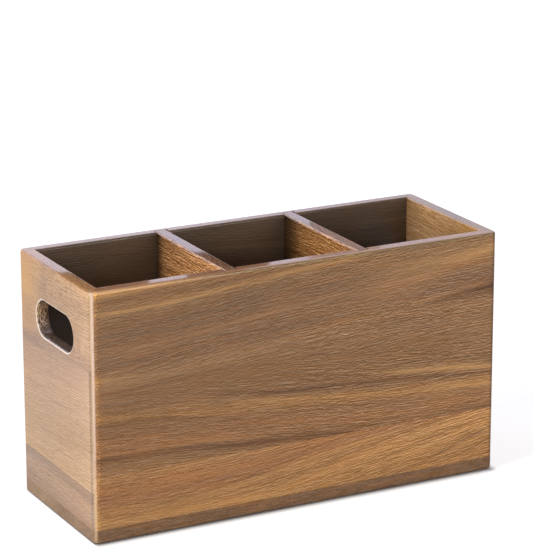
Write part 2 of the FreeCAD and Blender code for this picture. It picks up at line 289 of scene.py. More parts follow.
    # ribbons, fibres, dashes and pores follow the bent grain
    ribbon = g.noise(u, grain, w, (0.006, 0.20, 0.10), detail=3.0, rough=0.55, seed=seed + 1)
    band = g.noise(u, grain, w, (0.012, 0.45, 0.3), detail=1.0, rough=0.5, seed=seed + 2)
    fibre = along((0.05, 1.30, 0.9), detail=1.0, rough=0.5, seed=seed + 3, lift=0.70)
    dash = along((0.24, 1.25, 1.0), detail=1.0, rough=0.5, seed=seed + 9, lift=0.70)
    grit = along((0.80, 1.40, 1.2), detail=1.0, rough=0.5, seed=seed + 12, lift=0.65)
    fine = along((0.12, 2.9, 2.6), detail=2.0, rough=0.6, seed=seed + 4)
    curl = g.noise(u, grain, w, (0.16, 0.07, 0.05), detail=2.0, rough=0.5, seed=seed + 5, distortion=0.6)
    curl_patch = g.noise(u, grain, w, (0.012, 0.03, 0.03), detail=1.0, seed=seed + 10)
    curl = g.m("MULTIPLY", curl, g.step(curl_patch, -0.08, 0.12, 0.25, 1.3))
    pore_field = along((0.16, 2.0, 1.8), detail=1.0, rough=0.4, seed=seed + 6)
    pore_patch = g.noise(u, grain, w, (0.02, 0.10, 0.06), detail=1.0, seed=seed + 7)
    pore = g.step(g.m("MULTIPLY_ADD", pore_patch, 0.30, pore_field), 0.13, 0.22)

    k = p.get("figure", 1.0)
    value = g.sum(
        g.m("MULTIPLY", ribbon, 0.30 * k * p.get("ribbon", 1.0)),
        g.m("MULTIPLY", band, 0.25 * k * p.get("band", 1.0)),
        g.m("MULTIPLY", curl, p.get("curl", 0.25)),
    )
    crisp = g.sum(
        g.m("MULTIPLY", fibre, 1.02 * k * p.get("fibre", 1.0)),
        g.m("MULTIPLY", dash, 0.78 * k * p.get("dash", 1.0)),
        g.m("MULTIPLY", fine, 0.50 * k * p.get("fine", 1.0)),
        g.m("MULTIPLY", grit, 0.80 * k * p.get("grit", 1.0)),
    )
    if p.get("crisp"):
        crisp = g.m("MULTIPLY", crisp, g.curve(u, p["crisp"]))
    value = g.m("ADD", value, crisp)
    for q in p.get("quilts", []):
        quilt = g.noise(u, v, w, q.get("scale", (0.45, 0.70, 0.5)), detail=2.0, rough=0.6, seed=seed + 71, distortion=q.get("bend", 0.8))
        du = g.m("DIVIDE", g.m("SUBTRACT", u, q["at"][0]), q["size"][0])
        dv = g.m("DIVIDE", g.m("SUBTRACT", v, q["at"][1]), q["size"][1])
        r2 = g.m("ADD", g.m("MULTIPLY", du, du), g.m("MULTIPLY", dv, dv))
        value = g.m("ADD", value, g.m("MULTIPLY", g.m("MULTIPLY", quilt, q["amount"]), g.m("EXPONENT", g.m("MULTIPLY", r2, -1.0))))
    value = g.m("MAXIMUM", value, g.m("MULTIPLY_ADD", value, 0.45, -0.165))
    weights = g.add("ShaderNodeVectorMath", operation="MULTIPLY_ADD")
    g.put(g.vec(value, value, value), weights.inputs[0])
    weights.inputs[1].default_value = (0.72, 1.03, 1.60)
    weights.inputs[2].default_value = (1.0, 1.0, 1.0)
    figured = g.add("ShaderNodeVectorMath", operation="MULTIPLY")
    g.put(tone, figured.inputs[0])
    g.put(weights.outputs[0], figured.inputs[1])
    colour = figured.outputs[0]
    if warm is not None:
        colour = g.mix(g.m("MULTIPLY", warm, 1.0, clamp=True), colour, p.get("warm_colour", GOLD))
    if light is not None:
        colour = g.mix(g.m("MULTIPLY", light, 1.0, clamp=True), colour, p.get("light_colour", srgb(205, 150, 98)))
    if dark is not None:
        colour = g.mix(g.m("MULTIPLY", dark, 1.0, clamp=True), colour, p.get("dark_colour", DARK))
    # hue wanders a little between grey-brown and red-brown
    hue = g.noise(u, grain, w, (0.010, 0.09, 0.06), detail=2.0, seed=seed + 8)
    colour = g.mix(g.m("MULTIPLY", g.m("MAXIMUM", hue, 0.0), p.get("redness", 0.9)), colour, p.get("red_colour", RED))
    colour = g.mix(g.m("MULTIPLY", g.m("MAXIMUM", g.m("MULTIPLY", hue, -1.0), 0.0), p.get("greyness", 0.8)), colour, GREY)
    # and, more finely, between orange and plum threads
    thread = along((0.030, 0.42, 0.3), detail=2.0, rough=0.6, seed=seed + 51)
    threads = p.get("threads", 1.3)
    colour = g.mix(g.m("MULTIPLY", g.m("MAXIMUM", thread, 0.0), threads), colour, p.get("thread_light", ORANGE))
    colour = g.mix(g.m("MULTIPLY", g.m("MAXIMUM", g.m("MULTIPLY", thread, -1.0), 0.0), threads), colour, p.get("thread_dark", PLUM))
    colour = g.mix(g.m("MULTIPLY", pore, p.get("pores", 0.30)), colour, DARK)

    nsep = g.add("ShaderNodeSeparateXYZ")
    g.put(coord.outputs["Normal"], nsep.inputs[0])
    nx, ny, nz = (g.m("ABSOLUTE", nsep.outputs[i]) for i in range(3))

    # each board's colour is scaled by curves along and across it: on the front they lighten it towards the right end;
    # on the left end they make it paler towards the front corner, a painted sheen, and on its middle stave paler lower
    # down
    for name_, points in p.get("drift_and_sheen_curves", []):
        colour = g.scale_colour(colour, g.curve({"u": u, "v": v}[name_], points))

    # bands of tint along a board. Beside the vertical rounds they are painted light: on the front, a pale band where
    # the highlight of the front-left round falls off, speckled as end grain, and painted shade along the front-right
    # round; on the left end, beside that highlight, painted shade on the lower staves and a cool painted sheen on the
    # upper one. A few bands elsewhere are plain tints.
    for strip in p.get("strips_and_corner_light", []):
        a, b = strip["at"]
        edge_noise = g.noise(u, v, w, (0.05, 0.035, 0.05), detail=2.0, seed=seed + 41)
        shifted = g.m("MULTIPLY_ADD", edge_noise, strip.get("wobble", 3.0), u)
        mask = g.m("MULTIPLY", g.step(u, a, a + strip["ease"]), g.step(shifted, b, b - strip["ease"]))
        speck = g.noise(u, v, w, (0.85, 0.95, 0.8), detail=1.0, rough=0.6, seed=seed + 43)
        amount = g.m("MULTIPLY_ADD", speck, strip.get("speck", 0.0), 1.0)
        tinted = g.add("ShaderNodeVectorMath", operation="MULTIPLY")
        g.put(g.scale_colour(colour, amount), tinted.inputs[0])
        tinted.inputs[1].default_value = strip["tint"]
        colour = g.mix(mask, colour, tinted.outputs[0])

    # inside faces: painted light and shade. The back wall is darkened and cooled, and the right end's lower staves
    # darkened; the dividers are warmed, the left one lightened, and both darken towards the back wall; the right end's
    # upper stave is lightened where the lamp reaches it and darkens towards its ends; glints are painted highlights
    if p.get("inner"):
        axis_normal = {"X": nx, "Y": ny}[p["depth"]]
        if p.get("both_sides"):
            inner = g.step(axis_normal, 0.6, 0.8)
        else:
            facing = g.step(axis_normal, 0.12, 0.30) if p.get("inner_arris") else g.step(axis_normal, 0.6, 0.8)
            inner = g.m("MULTIPLY", g.step(g.m("ABSOLUTE", w), 7.4, 8.4), facing)
        deep = g.add("ShaderNodeVectorMath", operation="MULTIPLY")
        g.put(colour, deep.inputs[0])
        deep.inputs[1].default_value = p["inner"]
        shaded = deep.outputs[0]
        # painted shade colours: a flat dark one mixed in, and a cooler one low down
        if p.get("inner_flat"):
            shaded = g.mix(p["inner_flat"][0], shaded, p["inner_flat"][1])
        if p.get("inner_deep"):
            shaded = g.mix(g.m("MULTIPLY", g.step(axis["Z"], 136.0, 116.0), p["inner_deep"][0]), shaded, p["inner_deep"][1])
        if p.get("glints"):
            spark = g.noise(u, v, w, (0.42, 1.05, 0.9), detail=1.0, rough=0.5, seed=seed + 81)
            shaded = g.mix(g.m("MULTIPLY", g.step(spark, 0.04, 0.15), p["glints"][0]), shaded, p["glints"][1])
        for name_, points in p.get("inner_drifts", []):
            shaded = g.scale_colour(shaded, g.curve({"u": u, "v": v}[name_], points))
        colour = g.mix(inner, colour, shaded)

    # the rims: their flat top and outside arris are retinted, a painted reflection: paler on the front and back, where
    # they mirror the bright wall, darker on the two ends; the arris curve paints a golden highlight along the front's
    # arris near the left corner
    if p.get("rim"):
        flat_reflection_tint, arris_reflection_tint, arris_highlight_curve = p["rim"]
        at_top = g.step(axis["Z"], 167.6, 168.6)
        level_top = g.step(nz, 0.85, 0.94)
        rounded_top = g.step(axis["Z"], p.get("rim_from", 167.8), p.get("rim_from", 167.8) + 0.9)
        flat_speck = g.m("MULTIPLY_ADD", g.noise(u, v, w, (0.34, 1.1, 1.0), detail=2.0, rough=0.6, seed=seed + 61), p.get("rim_speck", 1.2), 1.0)
        flat_reflection_colour = g.tint(g.scale_colour(colour, flat_speck), flat_reflection_tint)
        arris_reflection_colour = g.tint(g.scale_colour(colour, g.curve(u, arris_highlight_curve)), arris_reflection_tint)
        outer = g.step(g.m("ABSOLUTE", w), 2.6, 2.0)
        topped = g.mix(g.m("MULTIPLY", at_top, level_top), colour, flat_reflection_colour)
        round_mask = g.m("MULTIPLY", g.m("MULTIPLY", rounded_top, outer), g.m("SUBTRACT", 1.0, level_top))
        colour = g.mix(round_mask, topped, arris_reflection_colour)
        # a painted sheen on the upturned part of the front's arris, from its left third to the right end
        if p.get("rim_sheen"):
            upturned = g.m("MULTIPLY", g.step(nz, 0.66, 0.88), g.step(nz, 0.9998, 0.996))
            sheen = g.m("MULTIPLY", g.m("MULTIPLY", upturned, outer), g.curve(u, p["rim_sheen"][1]))
            colour = g.mix(sheen, colour, p["rim_sheen"][0])
    # painted shade: the tops of the dividers are darkened and speckled
    if p.get("top"):
        top_speck = g.m("MULTIPLY_ADD", g.noise(u, v, w, (0.30, 0.8, 0.8), detail=2.0, seed=seed + 62), 1.8, 1.0)
        colour = g.mix(g.step(nz, 0.97, 0.99), colour, g.tint(g.scale_colour(colour, top_speck), p["top"]))
    if p.get("ends"):
        end_speck = g.m("MULTIPLY_ADD", g.noise(u, axis["Y"], axis["Z"], (0.3, 0.12, 0.8), detail=2.0, seed=seed + 63), 0.5, 1.0)
        colour = g.mix(g.step(nx, 0.55, 0.85), colour, g.tint(g.scale_colour(colour, end_speck), p["ends"]))
    # painted shade along the rounded bottom edge of the base, where it meets the floor
    if p.get("foot_shade"):
        foot_shade_mask = g.m("MULTIPLY", g.step(axis["Z"], 2.1, 1.1), g.step(nz, 0.97, 0.90))
        colour = g.mix(foot_shade_mask, colour, g.scale_colour(colour, p["foot_shade"]))

    # rounded edges: paler, most along the middle of the round, partly sanded and partly a painted highlight
    biggest = g.m("MAXIMUM", nx, g.m("MAXIMUM", ny, nz))
    edge = g.step(biggest, 0.985, 0.80)
    worn_and_lit_edge = g.m("MULTIPLY", edge, g.m("MULTIPLY_ADD", dash, 1.2, 0.8))
    colour = g.mix(g.m("MULTIPLY", worn_and_lit_edge, p.get("wear_and_highlight", 0.25), clamp=True), colour, p.get("wear_colour", srgb(226, 186, 146)))

    # a painted highlight down the middle of the vertical round at the front-left corner, nearest the lamp, and of the
    # one opposite it at the back right; it fades and turns more golden towards the bottom
    highlight_corners = g.m(
        "MULTIPLY",
        g.m("MULTIPLY", g.step(g.m("ABSOLUTE", axis["X"]), 145.6, 146.2), g.step(g.m("ABSOLUTE", axis["Y"]), 52.6, 53.2)),
        g.step(g.m("MULTIPLY", axis["X"], axis["Y"]), 0.0, 100.0),
    )
    middle = g.m("MULTIPLY", g.m("MULTIPLY", g.step(ny, 0.52, 0.78), g.step(ny, 0.975, 0.85)), g.step(nz, 0.60, 0.30))
    corner_highlight_noise = g.noise(axis["X"], axis["Y"], axis["Z"], (0.8, 0.8, 0.6), detail=2.0, rough=0.6, seed=501.0)
    corner_highlight = g.curve(axis["Z"], [(0, 0.30), (10, 0.55), (22, 0.78), (70, 0.86), (110, 1.0), (170, 0.96)])
    corner_highlight = g.m("MULTIPLY", corner_highlight, g.m("MULTIPLY_ADD", corner_highlight_noise, 1.3, 0.98))
    corner_highlight = g.m("MULTIPLY", g.m("MULTIPLY", highlight_corners, middle), corner_highlight)
    corner_highlight_colour = g.mix(g.step(axis["Z"], 75.0, 25.0), srgb(228, 198, 177), srgb(228, 190, 150))
    colour = g.mix(g.m("MULTIPLY", corner_highlight, 1.0, clamp=True), colour, corner_highlight_colour)

    # the handle slot: its walls are darker, partly the cut grain and partly painted shade that deepens into the slot,
    # on its level faces and towards its bottom; its rounded lips carry a painted highlight
    if p.get("slot"):
        cz, half_l, half_h = p["slot"]
        inside = g.m(
            "MULTIPLY",
            g.step(g.m("ABSOLUTE", axis["Y"]), half_l + 3.2, half_l + 2.2),
            g.step(g.m("ABSOLUTE", g.m("SUBTRACT", axis["Z"], cz)), half_h + 3.2, half_h + 2.2),
        )
        walls = g.m("MULTIPLY", inside, g.step(nx, 0.90, 0.80))
        lip_highlight = g.m("MULTIPLY", inside, g.m("MULTIPLY", g.step(nx, 0.76, 0.85), g.step(nx, 0.990, 0.965)))
        inner_lip = g.m("MULTIPLY", inside, g.m("MULTIPLY", g.step(g.m("ABSOLUTE", w), 6.9, 7.5), g.step(nx, 0.25, 0.55)))
        inner_lip = g.m("MULTIPLY", inner_lip, g.step(nx, 0.995, 0.975))
        stripe = g.m("MULTIPLY_ADD", g.noise(u, v, w, (0.95, 0.55, 1.0), detail=1.0, rough=0.5, seed=seed + 31), 4.2, 0.46, clamp=True)
        cut_and_shade_colour = g.mix(stripe, srgb(84, 64, 60), srgb(236, 206, 170))
        cut_and_shade_colour = g.mix(g.step(axis["Z"], cz + 4.0, cz - 8.0), g.tint(cut_and_shade_colour, (1.10, 1.0, 0.86)), g.tint(cut_and_shade_colour, (0.78, 0.80, 0.92)))
        # painted shade on the level faces of the slot and deeper in
        level_wall_shade = g.step(nz, 0.45, 0.90)
        cut_and_shade_colour = g.mix(level_wall_shade, cut_and_shade_colour, g.tint(cut_and_shade_colour, (0.34, 0.32, 0.34)))
        sunk_shade = g.step(g.m("ABSOLUTE", w), 5.0, 8.0)
        cut_and_shade_colour = g.scale_colour(cut_and_shade_colour, g.m("MULTIPLY_ADD", sunk_shade, -0.45, 1.0))
        colour = g.mix(g.m("MULTIPLY", walls, 0.92), colour, cut_and_shade_colour)
        # painted highlights on the outer and the inside lips
        colour = g.mix(g.m("MULTIPLY", lip_highlight, 0.85), colour, srgb(255, 240, 222))
        colour = g.mix(g.m("MULTIPLY", inner_lip, 0.8), colour, srgb(170, 148, 142))

    # hairline of glue where boards meet
    joint = None
    for a, pos in p.get("joints", []):
        near = g.step(g.m("ABSOLUTE", g.m("SUBTRACT", axis[a], pos)), 0.30, 0.05)
        joint = near if joint is None else g.m("MAXIMUM", joint, near)
    if joint is not None:
        colour = g.mix(g.m("MULTIPLY", joint, 0.45), colour, DARK)

    if p.get("gain"):
        tint = g.add("ShaderNodeVectorMath", operation="MULTIPLY")
        g.put(colour, tint.inputs[0])
        tint.inputs[1].default_value = p["gain"]
        colour = tint.outputs[0]

    rough = g.sum(
        p.get("rough", 0.46),
        g.m("MULTIPLY", band, 0.12),
        g.m("MULTIPLY", fibre, 0.14),
        g.m("MULTIPLY", pore, 0.12),
        g.m("MULTIPLY", edge, -0.08),
    )
    height = g.sum(
        g.m("MULTIPLY", fibre, 0.5),
        g.m("MULTIPLY", fine, 0.6),
        g.m("MULTIPLY", pore, -0.6),
        g.m("MULTIPLY", curl, 0.8),
        g.m("MULTIPLY", joint, -0.8) if joint is not None else 0.0,
    )
    bump = g.add("ShaderNodeBump")
    bump.inputs["Strength"].default_value = p.get("bump", 0.24)
    bump.inputs["Distance"].default_value = 0.00012
    g.put(height, bump.inputs["Height"])

    bsdf = g.add("ShaderNodeBsdfPrincipled")
    g.put(colour, bsdf.inputs["Base Color"])
    g.put(g.m("MULTIPLY", rough, 1.0, clamp=True), bsdf.inputs["Roughness"])
    g.put(bump.outputs[0], bsdf.inputs["Normal"])
    bsdf.inputs["IOR"].default_value = 1.45
    bsdf.inputs["Specular IOR Level"].default_value = 0.2
    bsdf.inputs["Coat Weight"].default_value = 0.9
    bsdf.inputs["Coat Roughness"].default_value = 0.16
    bsdf.inputs["Coat IOR"].default_value = 1.48
    out = g.add("ShaderNodeOutputMaterial")
    g.put(bsdf.outputs[0], out.inputs["Surface"])
    return g.mat


def fx(px):
    """Length position on the front from the left corner, in sixths of a millimetre, as x in millimetres."""
    return px / 6.0 - 150.0


def fz(py):
    """Height on a wall from the rim down, in sixths of a millimetre, as z in millimetres."""
    return 170.0 - py / 6.07


def line(*points):
    return [(fx(x), fz(y)) for x, y in points]


def ey(px):
    """Position on the left end from its back corner, in 6.24ths of a millimetre, as u (which runs to the front)."""
    return px / 6.24 - 57.0


def eline(*points):
    return [(ey(x), fz(y)) for x, y in points]


FRONT_UPPER = dict(
    along="X", across="Z", depth="Y", face=-57.0, drift=1.3, seed=3.0,
    spread=[(170, 14), (140, 17), (128, 15), (102, 0), (76, -15), (58, -12), (46, -4)],
    reach=[(-150, 0.0), (-90, 0.25), (0, 0.72), (80, 1.0), (150, 1.1)],
    gain=(0.88, 0.86, 0.83),
    fork=(16.0, -14.0, 88.0, 116.0), crisp=[(-150, 1.4), (-40, 1.8), (60, 2.5), (150, 2.6)],
    tones=[
        (185, srgb(152, 111, 73)),
        (168, srgb(137, 100, 67)),
        (160, srgb(150, 112, 73)),
        (150, srgb(142, 109, 76)),
        (138, srgb(132, 101, 72)),
        (128, srgb(138, 106, 76)),
        (118, srgb(137, 104, 74)),
        (110, srgb(154, 118, 82)),
        (101, srgb(144, 110, 76)),
        (92, srgb(141, 107, 75)),
        (84, srgb(164, 123, 78)),
        (76, srgb(150, 111, 76)),
        (66, srgb(157, 115, 76)),
        (56, srgb(144, 107, 72)),
        (44, srgb(158, 120, 82)),
    ],
    streaks=[
        dict(kind="warm", line=line((0, 20), (200, 18), (420, 14)), half=2.2, amount=0.72, from_edge=True, ease=90),
        dict(kind="warm", line=line((20, 92), (300, 88), (600, 62), (1000, 30), (1250, 8)), half=2.0, amount=0.36, from_edge=True),
        dict(kind="dark", line=line((20, 45), (300, 45), (650, 28), (900, 10)), half=2.2, amount=0.30, from_edge=True),
        dict(kind="light", line=line((20, 262), (250, 248), (500, 222), (800, 190), (1200, 150)), half=1.3, amount=0.26, from_edge=True),
        dict(kind="warm", line=line((0, 365), (140, 352), (260, 340)), half=4.0, amount=0.42, from_edge=True, ease=60),
        dict(kind="dark", line=line((0, 420), (250, 408), (480, 398), (800, 390)), half=1.5, amount=0.30, from_edge=True, ease=60),
        dict(kind="dark", line=line((360, 462), (600, 500), (800, 528), (1100, 545), (1400, 566), (1790, 600)), half=2.1, amount=0.42, to_edge=True, ease=70),
        dict(kind="warm", line=line((440, 500), (700, 548), (1000, 580), (1300, 612), (1600, 650)), half=1.6, amount=0.34, ease=60),
        dict(kind="dark", line=line((0, 550), (250, 556), (500, 582), (760, 612)), half=2.2, amount=0.34, from_edge=True, ease=80),
        dict(kind="light", line=line((20, 668), (300, 668), (600, 690), (820, 715)), half=0.9, amount=0.36, from_edge=True),
        dict(kind="dark", line=line((0, 688), (400, 698), (700, 724), (1000, 744), (1330, 766)), half=2.3, amount=0.58, from_edge=True, ease=50),
        dict(kind="dark", line=line((300, 725), (600, 735), (800, 748)), half=1.2, amount=0.22, ease=60),
        dict(kind="dark", line=line((1290, 280), (1450, 262), (1600, 246), (1800, 222)), half=2.5, amount=0.62, to_edge=True, ease=60, even=True),
        dict(kind="dark", line=line((1420, 285), (1600, 268), (1800, 250)), half=4.4, amount=0.42, to_edge=True, ease=70, even=True),
        dict(kind="dark", line=line((1080, 322), (1350, 300), (1540, 290)), half=2.6, amount=0.36, ease=50, even=True),
        dict(kind="warm", line=line((1150, 505), (1400, 535), (1650, 558), (1800, 572)), half=2.4, amount=0.58, to_edge=True, ease=60),
        dict(kind="warm", line=line((1350, 610), (1600, 632), (1800, 650)), half=3.0, amount=0.50, to_edge=True, ease=50),
        dict(kind="dark", line=line((1500, 735), (1650, 742), (1800, 745)), half=1.8, amount=0.50, to_edge=True, ease=40),
        dict(kind="light", line=line((1100, 175), (1350, 150), (1650, 120)), half=3.0, amount=0.26, ease=60),
        dict(kind="light", line=line((1350, 262), (1500, 238), (1780, 202)), half=1.0, amount=0.40, to_edge=True, even=True),
        dict(kind="warm", line=line((1450, 120), (1620, 90), (1800, 60)), half=4.0, amount=0.30, to_edge=True, ease=50),
        dict(kind="dark", line=line((700, 300), (1000, 268), (1300, 235)), half=1.5, amount=0.20, ease=60),
    ],
    patches=[
        dict(kind="light", at=(fx(1330), fz(170)), size=(42, 8), amount=0.22, slope=0.5),
        dict(kind="warm", at=(fx(1580), fz(86)), size=(62, 7), amount=0.30, slope=0.4),
        dict(kind="warm", at=(fx(1500), fz(690)), size=(55, 9), amount=0.05),
        dict(kind="dark", at=(fx(120), fz(560)), size=(26, 14), amount=0.14),
        dict(kind="dark", at=(fx(1790), fz(200)), size=(10, 8), amount=0.30),
    ],
    redness=0.25, greyness=0.5, curl=0.30,
    quilts=[
        dict(at=(fx(1400), fz(260)), size=(60, 18), amount=1.1, scale=(0.24, 0.62, 0.5)),
        dict(at=(fx(900), fz(330)), size=(60, 14), amount=0.8, scale=(0.24, 0.62, 0.5)),
        dict(at=(fx(1600), fz(500)), size=(50, 16), amount=0.9, scale=(0.24, 0.62, 0.5)),
        dict(at=(fx(150), fz(150)), size=(40, 14), amount=0.6, scale=(0.24, 0.62, 0.5)),
    ],
    drift_and_sheen_curves=[("u", [(-150, 1.01), (-40, 1.0), (60, 1.03), (150, 1.12)])],
    wear_and_highlight=0.05,
    # the front's rims: a painted reflection on the flat, a painted golden highlight on the arris near the left corner,
    # and a painted sheen further right
    rim=((1.60, 1.40, 1.18), (0.98, 1.08, 1.05), [(-150, 1.35), (-144, 1.95), (-95, 1.90), (-62, 1.20), (-30, 0.95), (150, 0.95)]), rim_from=167.0,
    rim_sheen=(srgb(204, 176, 168), [(-42, 0.0), (-25, 0.9), (150, 0.9)]),
    warm_colour=srgb(222, 170, 106),
    # beside the front-left round, a pale band painted where its highlight falls off, speckled as end grain; along the
    # front-right round, painted shade
    strips_and_corner_light=[
        dict(at=(-149.5, -144.6), ease=1.6, tint=(1.34, 1.30, 1.20), speck=1.1, wobble=2.0),
        dict(at=(-147.5, -141.6), ease=3.6, tint=(1.06, 1.00, 0.90), speck=2.2, wobble=5.0),
        dict(at=(145.5, 151.5), ease=1.6, tint=(0.74, 0.76, 0.80), speck=0.8),
    ],
    joints=[("Z", 46.0)],
)

FRONT_LOWER = dict(
    along="X", across="Z", depth="Y", face=-57.0, drift=1.6, seed=21.0,
    spread=[(46, 20), (34, 22), (20, 20), (10, 14)],
    gain=(0.93, 0.93, 0.885),
    fork=(20.0, 20.0, 0.0, 1.0), crisp=[(-150, 1.35), (0, 1.8), (150, 2.7)],
    reach=[(-150, 0.0), (-60, 0.06), (20, 0.42), (90, 0.85), (150, 1.25)],
    wander=4.0,
    tones=[
        (60, srgb(168, 123, 77)),
        (44, srgb(172, 125, 80)),
        (36, srgb(164, 115, 73)),
        (28, srgb(158, 111, 73)),
        (20, srgb(168, 123, 77)),
        (12, srgb(170, 125, 78)),
        (0, srgb(158, 115, 70)),
        (-14, srgb(140, 98, 58)),
    ],
    streaks=[
        dict(kind="dark", line=line((380, 905), (700, 855), (1000, 800), (1280, 765)), half=0.9, amount=0.28, ease=50),
        dict(kind="warm", line=line((300, 925), (700, 880), (1100, 812), (1500, 765)), half=1.3, amount=0.30, ease=50),
        dict(kind="dark", line=line((640, 935), (950, 880), (1250, 820), (1520, 775), (1800, 752)), half=0.9, amount=0.34, to_edge=True, ease=60),
        dict(kind="warm", line=line((760, 945), (1100, 880), (1400, 820), (1790, 768)), half=1.2, amount=0.34, to_edge=True, ease=60),
        dict(kind="dark", line=line((1000, 945), (1300, 885), (1560, 826), (1800, 790)), half=1.0, amount=0.40, to_edge=True, ease=50),
        dict(kind="warm", line=line((1150, 950), (1400, 895), (1620, 842), (1800, 806)), half=1.0, amount=0.36, to_edge=True, ease=50),
        dict(kind="dark", line=line((1330, 970), (1500, 930), (1650, 880), (1790, 835)), half=1.3, amount=0.42, to_edge=True, ease=30),
        dict(kind="warm", line=line((1420, 970), (1600, 912), (1800, 848)), half=0.9, amount=0.36, to_edge=True, ease=30),
        dict(kind="dark", line=line((1480, 975), (1650, 930), (1790, 885)), half=1.0, amount=0.40, to_edge=True, ease=20),
        dict(kind="warm", line=line((20, 945), (500, 955), (1000, 960)), half=2.4, amount=0.42, from_edge=True, ease=60),
    ],
    redness=0.12, greyness=0.20, curl=0.30, ribbon=0.55, thread_light=srgb(184, 124, 70),
    quilts=[
        dict(at=(-120, 26), size=(60, 18), amount=0.55, scale=(0.7, 0.9, 0.6)),
        dict(at=(0, 14), size=(60, 7), amount=0.50, scale=(0.7, 0.9, 0.6)),
    ],
    drift_and_sheen_curves=[("u", [(-150, 0.98), (-60, 1.05), (60, 1.20), (150, 1.33)])],
    wear_and_highlight=0.05,
    # beside the front-left round, a pale band painted where its highlight falls off, speckled as end grain; along the
    # front-right round, painted shade
    strips_and_corner_light=[
        dict(at=(-149.5, -144.6), ease=1.6, tint=(1.28, 1.30, 1.20), speck=1.0, wobble=2.0),
        dict(at=(-147.5, -142.4), ease=3.2, tint=(1.04, 1.06, 1.00), speck=1.6, wobble=5.0),
        dict(at=(145.5, 151.5), ease=1.6, tint=(0.74, 0.76, 0.80), speck=0.8),
    ],
    joints=[("Z", 46.0)],
)

BASE = dict(
    along="X", across="Y", depth="Z", face=0.0, drift=0.7, seed=40.0,
    tones=[
        (-60, srgb(120, 90, 62)),
        (-30, srgb(136, 101, 70)),
        (0, srgb(126, 93, 64)),
        (30, srgb(140, 104, 70)),
        (70, srgb(126, 92, 62)),
    ],
    # the bottom edge is darkened, painted shade where the base meets the floor
    redness=0.15, greyness=0.6, wear_and_highlight=0.06, ends=(1.66, 2.08, 2.60), foot_shade=0.32,
)

LEFT_UPPER = dict(
    along="Y", across="Z", depth="X", face=-150.0, drift=-1.2, seed=52.0, flip=True,
    fork=(5.0, 5.0, 0.0, 1.0),
    spread=[(117, 4), (170, 6)], reach=[(-57, 0.0), (0, 0.5), (57, 1.0)],
    tones=[
        (185, srgb(182, 134, 78)),
        (168, srgb(190, 145, 90)),
        (150, srgb(174, 135, 90)),
        (132, srgb(182, 142, 100)),
        (116, srgb(172, 134, 97)),
    ],
    patches=[
        dict(kind="warm", at=(ey(60), fz(110)), size=(20, 24), amount=0.86),
        dict(kind="warm", at=(ey(60), fz(280)), size=(12, 8), amount=0.30),
        dict(kind="dark", at=(ey(80), fz(235)), size=(13, 11), amount=0.20),
        dict(kind="dark", at=(ey(260), fz(60)), size=(6, 22), amount=0.22),
    ],
    curl=0.75, redness=0.3, greyness=0.3, slot=(132.0, 29.0, 12.0), wear_and_highlight=0.05, threads=0.7,
    quilts=[
        dict(at=(ey(430), fz(75)), size=(32, 13), amount=1.9, scale=(0.13, 0.55, 0.5)),
        dict(at=(ey(140), fz(110)), size=(20, 20), amount=1.1, scale=(0.28, 0.22, 0.2)),
        dict(at=(ey(400), fz(330)), size=(60, 8), amount=0.7, scale=(0.13, 0.55, 0.5)),
    ],
    warm_colour=srgb(208, 156, 80), thread_dark=srgb(132, 100, 78), thread_light=srgb(214, 158, 96),
    # the left end's rims: darker on the flat and arris, a painted reflection
    rim=((0.92, 0.80, 0.66), (0.76, 0.68, 0.60), [(-57, 1.20), (0, 1.05), (57, 0.9)]), rim_from=168.5, rim_speck=2.4,
    # left end, upper stave: paler towards the front corner, a painted sheen, and a cool painted sheen beside the corner
    # highlight
    drift_and_sheen_curves=[("u", [(-57, 1.05), (-10, 0.98), (30, 1.14), (57, 1.42)])],
    strips_and_corner_light=[dict(at=(52.6, 58.4), ease=0.8, tint=(0.90, 1.02, 1.26), speck=0.3, wobble=0.5), dict(at=(-160, -18), ease=30, tint=(0.99, 0.97, 0.88))],
    joints=[("Z", 117.5)],
)

